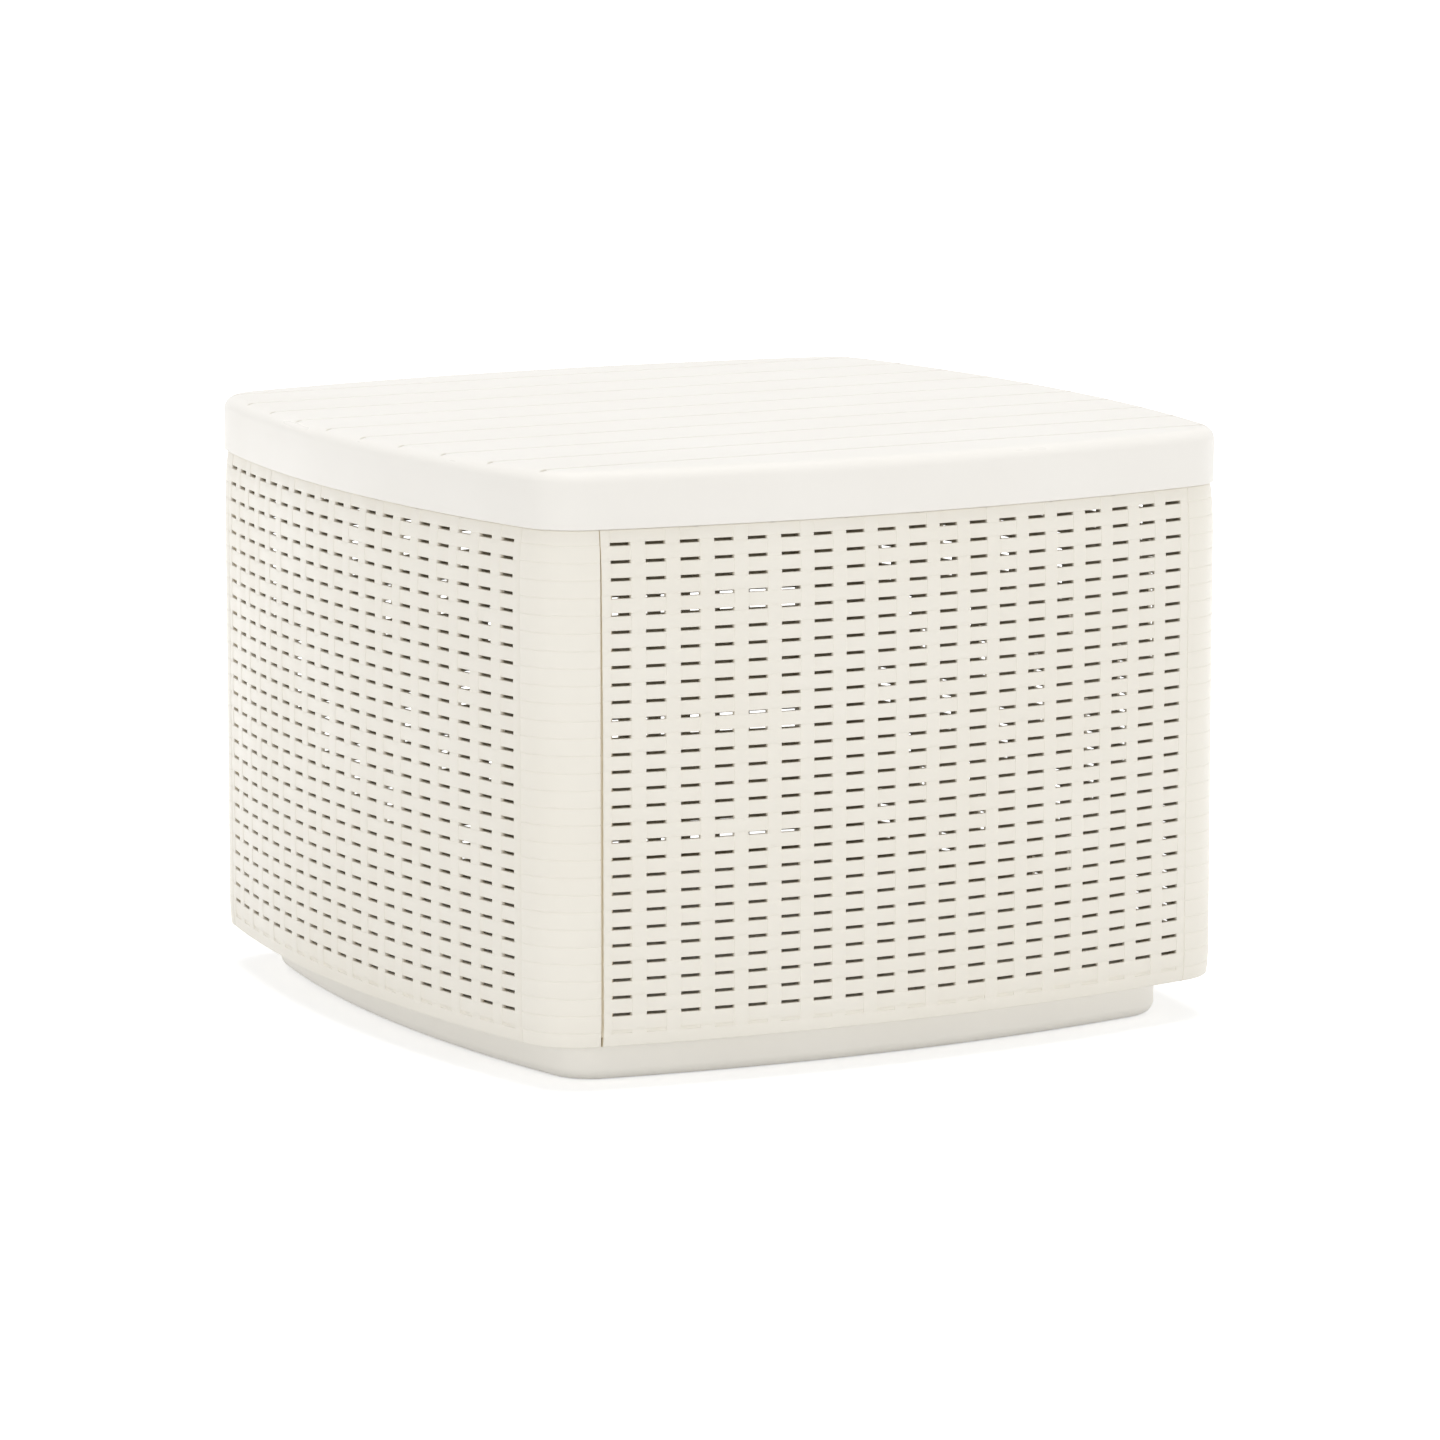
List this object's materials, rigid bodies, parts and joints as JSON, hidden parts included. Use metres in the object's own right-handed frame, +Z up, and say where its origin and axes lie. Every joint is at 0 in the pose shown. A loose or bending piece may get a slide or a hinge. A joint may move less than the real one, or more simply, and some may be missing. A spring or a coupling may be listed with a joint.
{
  "type": "patio side table",
  "caption": "Square storage side table in moulded plastic: bowed, slotted woven-look walls with round corner posts, recessed plinth and a lift-off grooved lid.",
  "frame": {"origin": "on the ground, under the middle of the table", "axes": "+Z up, -Y towards the front wall, +X to the right seen from the front; the lid's grooves run along X"},
  "size_m": [0.54, 0.54, 0.385],
  "materials": {
    "base_plastic": "fine satin grain, warm white",
    "wall_plastic": "moulded weave in satin warm white",
    "lid_plastic": "satin warm white with a fine grain"
  },
  "bodies": {
    "table": {"base": "base_plastic", "front_wall": "wall_plastic", "right_wall": "wall_plastic", "back_wall": "wall_plastic", "left_wall": "wall_plastic"},
    "lid": {"lid": "lid_plastic"}
  },
  "joints": [
    {"name": "lid_lift", "type": "slide", "parent": "table", "child": "lid", "axis": [0, 0, 1], "range_m": [0, 0.15]}
  ]
}
